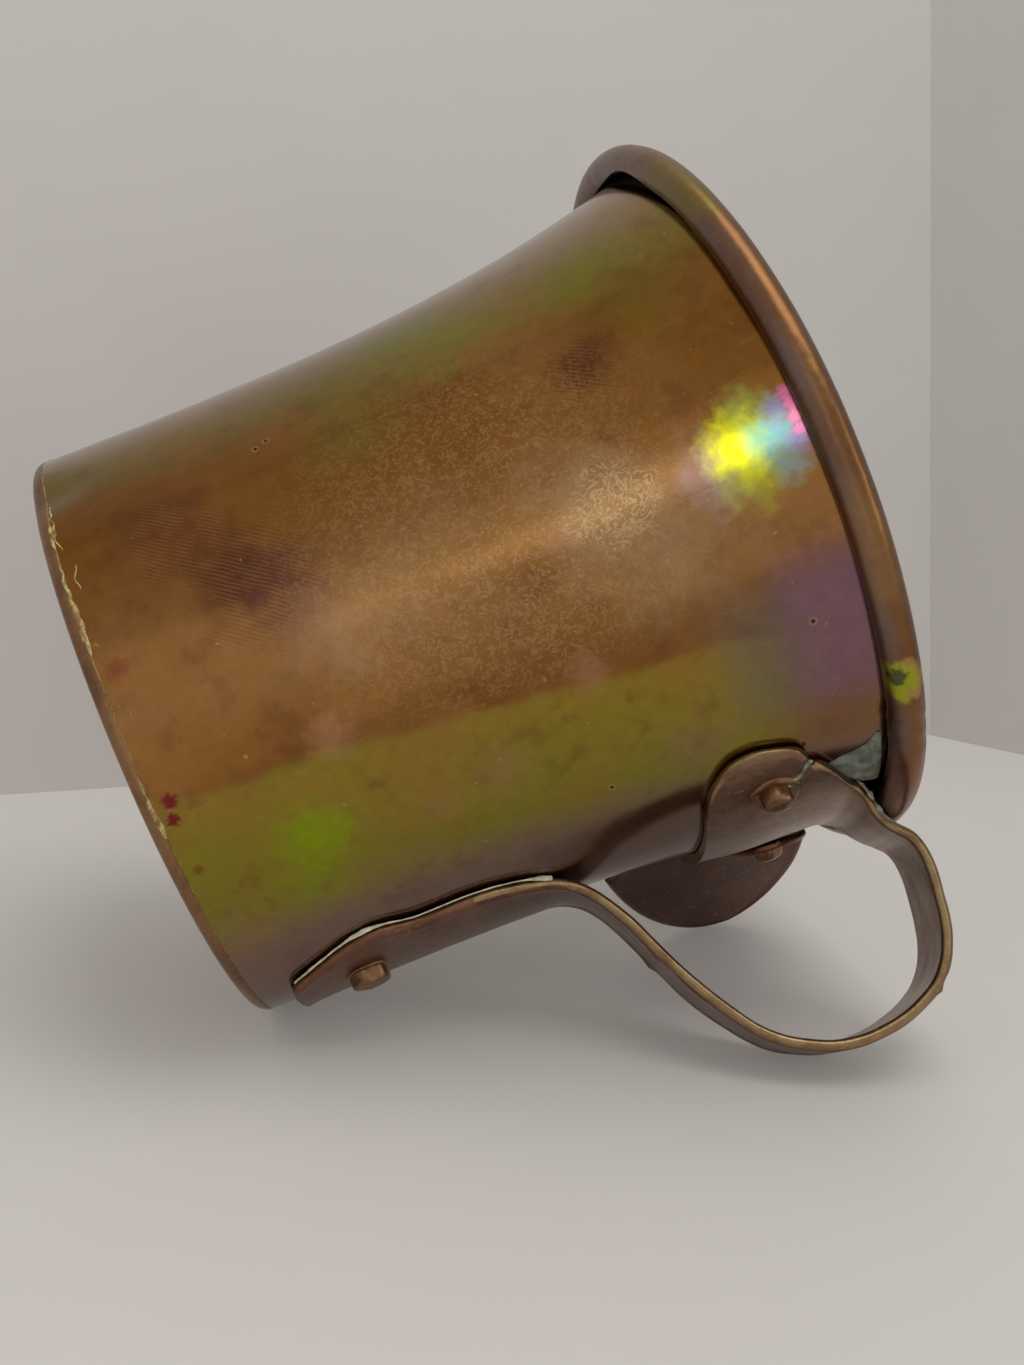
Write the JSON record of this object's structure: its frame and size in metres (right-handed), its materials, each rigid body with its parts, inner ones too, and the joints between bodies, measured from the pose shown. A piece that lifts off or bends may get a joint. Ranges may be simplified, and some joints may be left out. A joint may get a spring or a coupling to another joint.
{
  "type": "copper mug",
  "caption": "Flared copper drinking mug with a wired rolled rim, a flat brazed base and a riveted S-shaped strap handle with a thumb wing.",
  "frame": {"origin": "centre of the flat rest face of the base", "axes": "+Z along the body axis from base to mouth, +X from the body axis to the middle of the handle"},
  "size_m": [0.1153, 0.0948, 0.0809],
  "materials": {
    "tarnished_copper": "satin, heat-tinted and tarnished",
    "dark_copper": "satin, dark brown",
    "rivet_copper": "hammered satin",
    "brass_braze": "cast, slightly rough",
    "soft_solder": "dull, pale grey-green",
    "iron_wire": "drawn, hidden in the rolled rim"
  },
  "bodies": {
    "root": {"base_disc": "tarnished_copper", "base_braze_ring": "brass_braze", "body_wall": "tarnished_copper", "rim_wire": "iron_wire", "handle_strap": "tarnished_copper", "rear_wing": "dark_copper", "rivet_lower": "rivet_copper", "rivet_upper_front": "rivet_copper", "rivet_upper_rear": "rivet_copper", "terminal_solder_bead": "soft_solder", "rim_solder_fillet": "soft_solder"}
  },
  "joints": []
}
